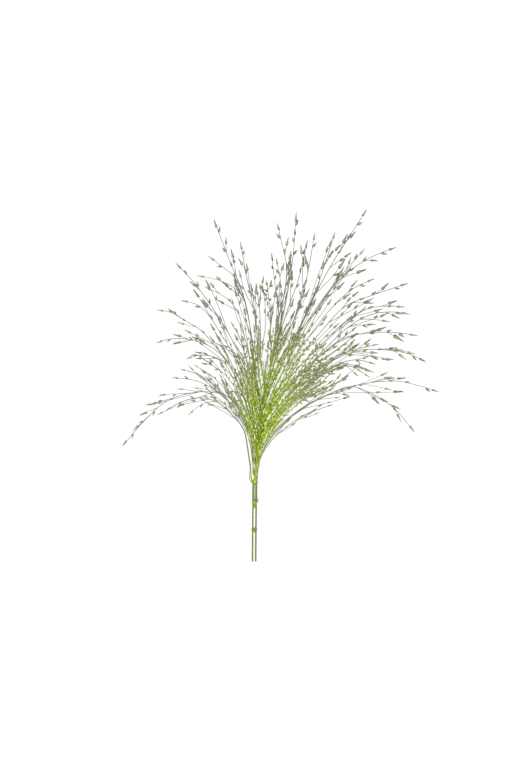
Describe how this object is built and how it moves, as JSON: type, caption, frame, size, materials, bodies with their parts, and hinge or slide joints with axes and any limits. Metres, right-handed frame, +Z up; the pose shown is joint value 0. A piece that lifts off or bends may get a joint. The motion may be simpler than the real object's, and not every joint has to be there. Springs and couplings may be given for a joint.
{
  "type": "fountain grass stem",
  "caption": "Cut grass stem lying on its side, with a jointed culm and a wide open fan of thin branches that carry small pointed spikelets.",
  "frame": {"origin": "centre of the object's box, on the surface that it lies on", "axes": "+Y up along the stem from its cut end to the top of its fan, +X to the right of the fan seen from above, +Z up from the surface"},
  "size_m": [0.286, 0.318, 0.118],
  "materials": {
    "culm": "smooth green stem with a soft gloss and a pale streak along it",
    "sheath": "thin dry leaf sheath, pale green",
    "spray_left": "yellow-green branches that turn grey-green, pale spikelets with olive tips",
    "spray_top": "yellow-green branches that turn grey-green, pale spikelets with olive tips",
    "spray_right": "yellow-green branches that turn grey-green, pale spikelets with olive tips"
  },
  "bodies": {
    "root": {"culm": "culm", "sheath_flap": "sheath", "spray_left_01": "spray_left", "spray_left_02": "spray_left", "spray_left_03": "spray_left", "spray_left_04": "spray_left", "spray_left_05": "spray_left", "spray_left_06": "spray_left", "spray_left_07": "spray_left", "spray_left_08": "spray_left", "spray_left_09": "spray_left", "spray_left_10": "spray_left", "spray_left_11": "spray_left", "spray_left_12": "spray_left", "spray_left_13": "spray_left", "spray_left_14": "spray_left", "spray_left_15": "spray_left", "spray_left_16": "spray_left", "spray_left_17": "spray_left", "spray_left_18": "spray_left", "spray_left_19": "spray_left", "spray_right_01": "spray_right", "spray_right_02": "spray_right", "spray_right_03": "spray_right", "spray_right_04": "spray_right", "spray_right_05": "spray_right", "spray_right_06": "spray_right", "spray_right_07": "spray_right", "spray_right_08": "spray_right", "spray_right_09": "spray_right", "spray_right_10": "spray_right", "spray_right_11": "spray_right", "spray_right_12": "spray_right", "spray_right_13": "spray_right", "spray_right_14": "spray_right", "spray_right_15": "spray_right", "spray_right_16": "spray_right", "spray_right_17": "spray_right", "spray_right_18": "spray_right", "spray_right_19": "spray_right", "spray_right_20": "spray_right", "spray_right_21": "spray_right", "spray_top_01": "spray_top", "spray_top_02": "spray_top", "spray_top_03": "spray_top", "spray_top_04": "spray_top", "spray_top_05": "spray_top", "spray_top_06": "spray_top", "spray_top_07": "spray_top", "spray_top_08": "spray_top"}
  },
  "joints": []
}
